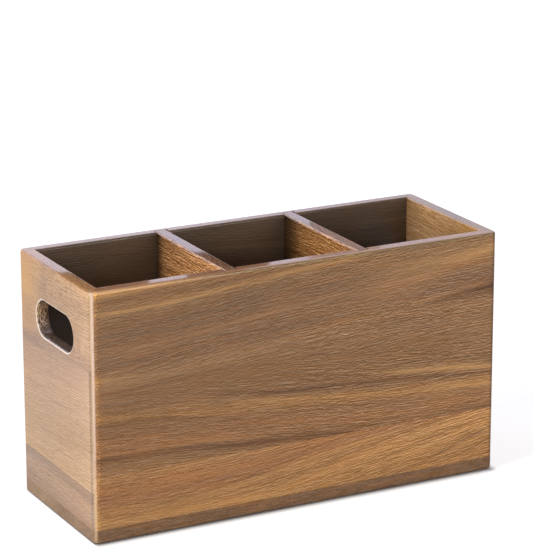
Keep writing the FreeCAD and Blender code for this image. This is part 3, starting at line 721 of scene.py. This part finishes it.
LEFT_MIDDLE = dict(
    along="Y", across="Z", depth="X", face=-150.0, drift=-1.2, seed=63.0, flip=True,
    fork=(7.0, 7.0, 0.0, 1.0),
    spread=[(35, 6), (118, 8)], reach=[(-57, 0.0), (0, 0.5), (57, 1.0)],
    tones=[
        (126, srgb(176, 138, 106)),
        (112, srgb(164, 129, 101)),
        (104, srgb(178, 140, 108)),
        (88, srgb(185, 147, 113)),
        (74, srgb(184, 148, 114)),
        (56, srgb(181, 146, 112)),
        (44, srgb(190, 156, 124)),
        (30, srgb(191, 158, 127)),
    ],
    streaks=[
        dict(kind="dark", line=eline((10, 350), (180, 352), (330, 362)), half=2.2, amount=0.26, from_edge=True),
        dict(kind="dark", line=eline((50, 595), (200, 578), (350, 548), (640, 522)), half=0.8, amount=0.30),
        dict(kind="dark", line=eline((10, 462), (300, 440), (600, 428)), half=1.1, amount=0.14, from_edge=True),
        dict(kind="dark", line=eline((100, 700), (400, 680), (700, 640)), half=1.2, amount=0.14, to_edge=True),
        dict(kind="warm", line=eline((10, 800), (300, 805), (700, 790)), half=3.0, amount=0.10, from_edge=True, to_edge=True),
    ],
    redness=0.25, greyness=0.25, curl=0.22, figure=0.7, wear_and_highlight=0.05, threads=0.5, gain=(1.0, 1.0, 0.89),
    thread_dark=srgb(140, 110, 88), thread_light=srgb(210, 166, 120),
    # left end, middle stave: paler towards the front corner, a painted sheen, and painted shade beside the corner
    # highlight
    drift_and_sheen_curves=[("u", [(-57, 1.0), (0, 1.05), (57, 1.42)]), ("v", [(35, 1.16), (60, 1.10), (90, 1.04), (117, 1.0)])],
    strips_and_corner_light=[dict(at=(52.6, 58.4), ease=0.8, tint=(0.70, 0.76, 0.92), speck=0.3, wobble=0.5), dict(at=(15, 70), ease=34, tint=(1.0, 1.02, 1.10)), dict(at=(53.2, 55.4), ease=0.9, tint=(0.93, 0.91, 0.90), wobble=0.4), dict(at=(-160, -18), ease=30, tint=(1.0, 0.98, 0.88))],
    joints=[("Z", 117.5), ("Z", 35.0)],
)

LEFT_LOWER = dict(
    along="Y", across="Z", depth="X", face=-150.0, drift=-1.2, seed=77.0, flip=True,
    tones=[
        (40, srgb(166, 138, 112)),
        (31, srgb(162, 135, 111)),
        (24, srgb(180, 149, 121)),
        (16, srgb(172, 143, 117)),
        (8, srgb(164, 135, 108)),
        (0, srgb(164, 135, 108)),
    ],
    redness=0.2, greyness=0.4, curl=0.2, figure=0.7, wear_and_highlight=0.05, threads=0.5,
    thread_dark=srgb(134, 112, 96), thread_light=srgb(206, 166, 122),
    # left end, lower stave: paler towards the front corner, a painted sheen, and painted shade beside the corner
    # highlight
    drift_and_sheen_curves=[("u", [(-57, 1.10), (0, 1.26), (57, 1.52)])],
    strips_and_corner_light=[dict(at=(53.2, 55.4), ease=0.9, tint=(0.90, 0.87, 0.85), wobble=0.4), dict(at=(52.6, 58.4), ease=0.8, tint=(0.76, 0.83, 0.92), speck=0.3, wobble=0.5)],
    joints=[("Z", 35.0)],
)

DIVIDER = dict(
    along="Y", across="Z", depth="X", face=-53.0, drift=-1.0, seed=90.0, flip=True,
    tones=[
        (180, srgb(150, 102, 64)),
        (160, srgb(176, 122, 74)),
        (140, srgb(158, 106, 64)),
        (120, srgb(172, 118, 70)),
        (80, srgb(150, 102, 64)),
        (40, srgb(168, 116, 72)),
        (5, srgb(150, 104, 68)),
    ],
    redness=0.25, greyness=0.3, curl=0.8, figure=6.0, both_sides=True, threads=1.5, pores=0.6,
    # on the dividers, painted light and shade: glints, faces lightened but darkening towards the back wall, darkened
    # tops, and arrises paled partly by sanding and partly as a painted highlight
    thread_light=srgb(204, 152, 84), glints=(0.50, srgb(232, 190, 126)),
    inner=(1.22, 1.20, 1.16), top=(0.50, 0.43, 0.38), wear_and_highlight=0.40,
    inner_drifts=[("u", [(-57, 0.10), (-47, 0.14), (-43, 0.30), (-38, 0.60), (-20, 0.92), (5, 1.08), (30, 1.28), (57, 1.42)])],
)


def variant(base, **changes):
    made = dict(base)
    made.update(changes)
    return made


plan = {
    "front_panel_upper_stave": ("acacia_front", FRONT_UPPER),
    "front_panel_lower_stave": ("acacia_front", FRONT_LOWER),
    # the back wall: its inside face darkened and cooled, painted shade, and the tops of its rims paler and cooler, a
    # painted reflection
    "back_panel_upper_stave": ("acacia_back", variant(FRONT_UPPER, face=57.0, drift=-1.3, flip=True, seed=131.0, inner=(0.50, 0.54, 0.58), inner_flat=(0.60, srgb(80, 72, 66)), inner_deep=(0.85, srgb(110, 119, 125)), inner_arris=True, rim=((1.30, 1.34, 1.40), (1.0, 1.0, 1.0), [(-150, 1.0), (150, 1.01)]), rim_sheen=None, inner_drifts=[("v", [(90, 2.6), (125, 2.0), (150, 1.30), (170, 1.05)]), ("u", [(-60, 1.0), (-40, 1.22), (0, 1.14), (50, 1.0)])])),
    "back_panel_lower_stave": ("acacia_back", variant(FRONT_LOWER, face=57.0, drift=-1.6, flip=True, seed=142.0, inner=(0.50, 0.54, 0.58), inner_flat=(0.60, srgb(80, 72, 66)), inner_deep=(0.85, srgb(110, 119, 125)), inner_arris=True, rim=((1.30, 1.34, 1.40), (1.0, 1.0, 1.0), [(-150, 1.0), (150, 1.01)]), rim_sheen=None, inner_drifts=[("v", [(90, 2.6), (125, 2.0), (150, 1.30), (170, 1.05)]), ("u", [(-60, 1.0), (-40, 1.22), (0, 1.14), (50, 1.0)])])),
    "left_end_upper_stave": ("acacia_left_end", LEFT_UPPER),
    "left_end_middle_stave": ("acacia_left_end", LEFT_MIDDLE),
    "left_end_lower_stave": ("acacia_left_end", LEFT_LOWER),
    # the right end's upper stave: its inside face lightened where the lamp reaches it and darkening towards its ends,
    # painted light and shade; its rims darkened, a painted dimmer reflection
    "right_end_upper_stave": ("acacia_right_end", variant(LEFT_UPPER, face=150.0, drift=1.2, flip=False, seed=153.0, figure=1.6, glints=(0.26, srgb(232, 190, 130)), inner=(1.36, 1.36, 1.36), rim=((0.62, 0.60, 0.56), (0.30, 0.30, 0.34), [(-57, 1.0), (57, 1.01)]), inner_drifts=[("u", [(-57, 0.60), (-35, 0.84), (-10, 1.08), (10, 1.06), (40, 0.70), (57, 0.38)]), ("v", [(130, 0.85), (155, 1.0), (169, 1.25)])])),
    # the right end's lower staves: inside faces darkened, painted shade
    "right_end_middle_stave": ("acacia_right_end", variant(LEFT_MIDDLE, face=150.0, drift=1.2, flip=False, seed=164.0, inner=(0.7, 0.6, 0.45))),
    "right_end_lower_stave": ("acacia_right_end", variant(LEFT_LOWER, face=150.0, drift=1.2, flip=False, seed=175.0, inner=(0.6, 0.5, 0.4))),
    "base_board": ("acacia_base", BASE),
    "left_divider": ("acacia_dividers", DIVIDER),
    # the right divider: faces warmed and darkening towards the back wall, painted shade
    "right_divider": ("acacia_dividers", variant(DIVIDER, face=44.0, seed=97.0, inner=(1.02, 0.94, 0.74), inner_drifts=[("u", [(-57, 0.06), (-46, 0.09), (-36, 0.24), (-24, 0.66), (0, 0.96), (57, 1.22)])])),
}

for node_name, (slot_name, params) in plan.items():
    obj = nodes[node_name]
    mat = acacia("lacquered_" + node_name, params)
    if obj.material_slots:
        for ms in obj.material_slots:
            ms.material = mat
    else:
        obj.data.materials.append(mat)


# ---------------------------------------------------------------------------
# stage
# ---------------------------------------------------------------------------
scene = bpy.context.scene

floor_mesh = bpy.data.meshes.new("floor")
R = 9.0
floor_mesh.from_pydata([(-R, -R, 0), (R, -R, 0), (R, R, 0), (-R, R, 0)], [], [(0, 1, 2, 3)])
floor = bpy.data.objects.new("floor", floor_mesh)
floor.location = (0, 0, -0.0002)
scene.collection.objects.link(floor)
fg = Graph("pale_floor")
fcoord = fg.add("ShaderNodeTexCoord")
fsep = fg.add("ShaderNodeSeparateXYZ")
fg.put(fcoord.outputs["Object"], fsep.inputs[0])
fpx, fpy = fsep.outputs[0], fsep.outputs[1]
floor_bsdf = fg.add("ShaderNodeBsdfDiffuse")
floor_bsdf.inputs["Color"].default_value = (0.90, 0.90, 0.90, 1)
path = fg.add("ShaderNodeLightPath")
# the paper reads as pure white, as in a catalogue picture, with only the deeper shadow left on it
off_x = fg.m("MAXIMUM", fg.m("SUBTRACT", fg.m("ABSOLUTE", fpx), 0.1485), 0.0)
off_y = fg.m("MAXIMUM", fg.m("SUBTRACT", fg.m("ABSOLUTE", fpy), 0.0555), 0.0)
off = fg.m("SQRT", fg.m("ADD", fg.m("MULTIPLY", off_x, off_x), fg.m("MULTIPLY", off_y, off_y)))
# the shadow is tight beside the left end, where the light comes from, and wider in front
at_left = fg.step(fpx, -0.1480, -0.1500)
contact = fg.step(fg.m("MULTIPLY", off, fg.m("MULTIPLY_ADD", at_left, 10.0, 1.0)), 0.0, 0.0070)
far = fg.step(off, 0.15, 1.2, 0.62, 1.0)
lift = fg.add("ShaderNodeEmission")
lift.inputs["Color"].default_value = (1, 1, 1, 1)
fg.put(fg.m("MULTIPLY", fg.m("MULTIPLY", contact, far), path.outputs["Is Camera Ray"]), lift.inputs["Strength"])
both = fg.add("ShaderNodeAddShader")
fg.put(floor_bsdf.outputs[0], both.inputs[0])
fg.put(lift.outputs[0], both.inputs[1])
# what the lacquer mirrors of the table: dim in front, brighter towards the lit wall, and a
# brighter wedge of paper that shines along the rounded corner
dx = fg.m("SUBTRACT", -0.146, fpx)
dy = fg.m("SUBTRACT", -0.053, fpy)
turn = fg.m("ARCTAN2", dy, dx)
reach = fg.m("SQRT", fg.m("ADD", fg.m("MULTIPLY", dx, dx), fg.m("MULTIPLY", dy, dy)))
opening = fg.step(reach, 0.25, 0.50, 0.37, 0.09)
wedge = fg.m(
    "MULTIPLY",
    fg.step(fg.m("SUBTRACT", turn, opening), 0.0, 0.12),
    fg.step(fg.m("ADD", turn, fg.step(reach, 0.20, 0.50, 0.0, -0.15)), 1.15, 0.92),
)
wedge = fg.m("MULTIPLY", wedge, fg.step(fpx, -0.146, -0.156))
back_bright = fg.step(fpy, 0.0, 0.25)
wedge = fg.m("MULTIPLY", wedge, fg.step(reach, 0.0, 0.30, 0.50, 1.0))
level = fg.sum(0.19, fg.m("MULTIPLY", back_bright, 0.65), fg.m("MULTIPLY", wedge, 1.6))
mirror = fg.add("ShaderNodeEmission")
mirror.inputs["Color"].default_value = (0.98, 0.95, 1.02, 1)
fg.put(level, mirror.inputs["Strength"])
pick = fg.add("ShaderNodeMixShader")
fg.put(path.outputs["Is Glossy Ray"], pick.inputs[0])
fg.put(both.outputs[0], pick.inputs[1])
fg.put(mirror.outputs[0], pick.inputs[2])
floor_out = fg.add("ShaderNodeOutputMaterial")
fg.put(pick.outputs[0], floor_out.inputs["Surface"])
fg.mat.cycles.emission_sampling = "NONE"
floor_mesh.materials.append(fg.mat)


class WorldGraph(Graph):
    """The same helper on the world's tree."""

    def __init__(self, world):
        world.use_nodes = True
        self.tree = world.node_tree
        self.tree.nodes.clear()
        self.n = 0


# a soft studio: a bright, slightly cool wall behind the object, a dimmer room in front
world = bpy.data.worlds.new("studio")
scene.world = world
wg = WorldGraph(world)
wcoord = wg.add("ShaderNodeTexCoord")
wsep = wg.add("ShaderNodeSeparateXYZ")
wg.put(wcoord.outputs["Generated"], wsep.inputs[0])
behind = wg.step(wsep.outputs[1], 0.15, 0.75)
low = wg.step(wg.m("ABSOLUTE", wsep.outputs[2]), 0.75, 0.35)
wall = wg.m("MULTIPLY", behind, low)
# what the lacquer mirrors of the wall reaches a little higher than what lights the room
wpath = wg.add("ShaderNodeLightPath")
high = wg.m("MULTIPLY", wg.step(wsep.outputs[1], -0.05, 0.12), wg.step(wsep.outputs[2], 0.97, 0.90))
high = wg.m("MULTIPLY", high, wg.step(wsep.outputs[2], 0.0, 0.15))
wall = wg.m("MAXIMUM", wall, wg.m("MULTIPLY", high, wpath.outputs["Is Glossy Ray"]))
# the wall falls off towards the right
aside = wg.m("ARCTAN2", wsep.outputs[0], wsep.outputs[1])
lit = wg.mix(wg.step(aside, 0.44, 0.58), (1.46, 1.46, 1.80, 1), (0.98, 0.96, 1.12, 1))
room = wg.mix(wall, (0.17, 0.17, 0.18, 1), lit)
bg = wg.add("ShaderNodeBackground")
wg.put(room, bg.inputs["Color"])
bg.inputs["Strength"].default_value = 1.0
wout = wg.add("ShaderNodeOutputWorld")
wg.put(bg.outputs[0], wout.inputs["Surface"])


def area(name, at, aim, size, power, colour=(1, 1, 1)):
    data = bpy.data.lights.new(name, "AREA")
    data.shape = "RECTANGLE"
    data.size, data.size_y = size
    data.energy = power
    data.color = colour
    lamp = bpy.data.objects.new(name, data)
    lamp.location = at
    lamp.rotation_mode = "QUATERNION"
    lamp.rotation_quaternion = (Vector(aim) - Vector(at)).to_track_quat("-Z", "Y")
    lamp.visible_camera = False
    scene.collection.objects.link(lamp)
    return lamp


area("key_left", (-1.55, -0.27, 0.95), (0, 0, 0.08), (0.7, 0.7), 17.0, (1.0, 0.97, 0.92))
area("front_fill", (0.2, -2.2, 0.45), (0, 0, 0.08), (1.8, 0.7), 30.0, (1.0, 0.98, 0.96))

# a brown card over the compartments, seen only in the lacquer: the rims near it mirror wood, not the wall
card_mesh = bpy.data.meshes.new("rim_card")
card_mesh.from_pydata(
    [(-0.200, 0, 0.1745), (-0.079, 0, 0.1745), (-0.079, 0, 0.42), (-0.200, 0, 0.42)]
    + [(-0.052, 0, 0.1745), (0.010, 0, 0.1745), (0.010, 0, 0.42), (-0.052, 0, 0.42)],
    [],
    [(0, 1, 2, 3), (4, 5, 6, 7)],
)
card = bpy.data.objects.new("rim_card", card_mesh)
card.location = (0, 0.006, 0)
scene.collection.objects.link(card)
cg = Graph("card_brown")
glow = cg.add("ShaderNodeEmission")
glow.inputs["Color"].default_value = (0.12, 0.07, 0.035, 1)
card_out = cg.add("ShaderNodeOutputMaterial")
# it fades out above the rims, so that it leaves no hard edge in the face of a divider that is lifted past it
card_point = cg.add("ShaderNodeNewGeometry")
card_axis = cg.add("ShaderNodeSeparateXYZ")
cg.put(card_point.outputs["Position"], card_axis.inputs[0])
card_clear = cg.add("ShaderNodeBsdfTransparent")
card_mix = cg.add("ShaderNodeMixShader")
cg.put(cg.step(card_axis.outputs["Z"], 0.232, 0.196), card_mix.inputs[0])
cg.put(card_clear.outputs[0], card_mix.inputs[1])
cg.put(glow.outputs[0], card_mix.inputs[2])
cg.put(card_mix.outputs[0], card_out.inputs["Surface"])
cg.mat.cycles.emission_sampling = "NONE"
card_mesh.materials.append(cg.mat)
card.visible_camera = card.visible_diffuse = card.visible_shadow = False
card.visible_transmission = card.visible_volume_scatter = False

# a paler card behind it, for the part of the right divider's top that mirrors the metal cutlery
pale_mesh = bpy.data.meshes.new("cutlery_card")
pale_mesh.from_pydata([(0.059, 0, 0.1745), (0.115, 0, 0.1745), (0.115, 0, 0.26), (0.059, 0, 0.26)], [], [(0, 1, 2, 3)])
pale = bpy.data.objects.new("cutlery_card", pale_mesh)
pale.location = (0, 0.040, 0)
scene.collection.objects.link(pale)
pg = Graph("card_pale")
pale_glow = pg.add("ShaderNodeEmission")
pale_glow.inputs["Color"].default_value = (0.60, 0.50, 0.50, 1)
pale_out = pg.add("ShaderNodeOutputMaterial")
pg.put(pale_glow.outputs[0], pale_out.inputs["Surface"])
pg.mat.cycles.emission_sampling = "NONE"
pale_mesh.materials.append(pg.mat)
pale.visible_camera = pale.visible_diffuse = pale.visible_shadow = False
pale.visible_transmission = pale.visible_volume_scatter = False


# ---------------------------------------------------------------------------
# camera
# ---------------------------------------------------------------------------
cam_data = bpy.data.cameras.new("camera")
cam = bpy.data.objects.new("camera", cam_data)
scene.collection.objects.link(cam)
cam_data.sensor_width = 36.0
cam_data.lens = 185.19
cam_data.clip_start, cam_data.clip_end = 0.05, 60.0
right = Vector((0.88583914, -0.46398969, -0.00161095))
up = Vector((0.13444994, 0.25336286, 0.9579825))
forward = Vector((0.44408585, 0.84883498, -0.28682213))
rot = Matrix((right, up, -forward)).transposed().to_4x4()
cam.matrix_world = Matrix.Translation((-0.833686, -1.602387, 0.686711)) @ rot
scene.camera = cam

scene.view_settings.view_transform = "Standard"
scene.view_settings.look = "None"
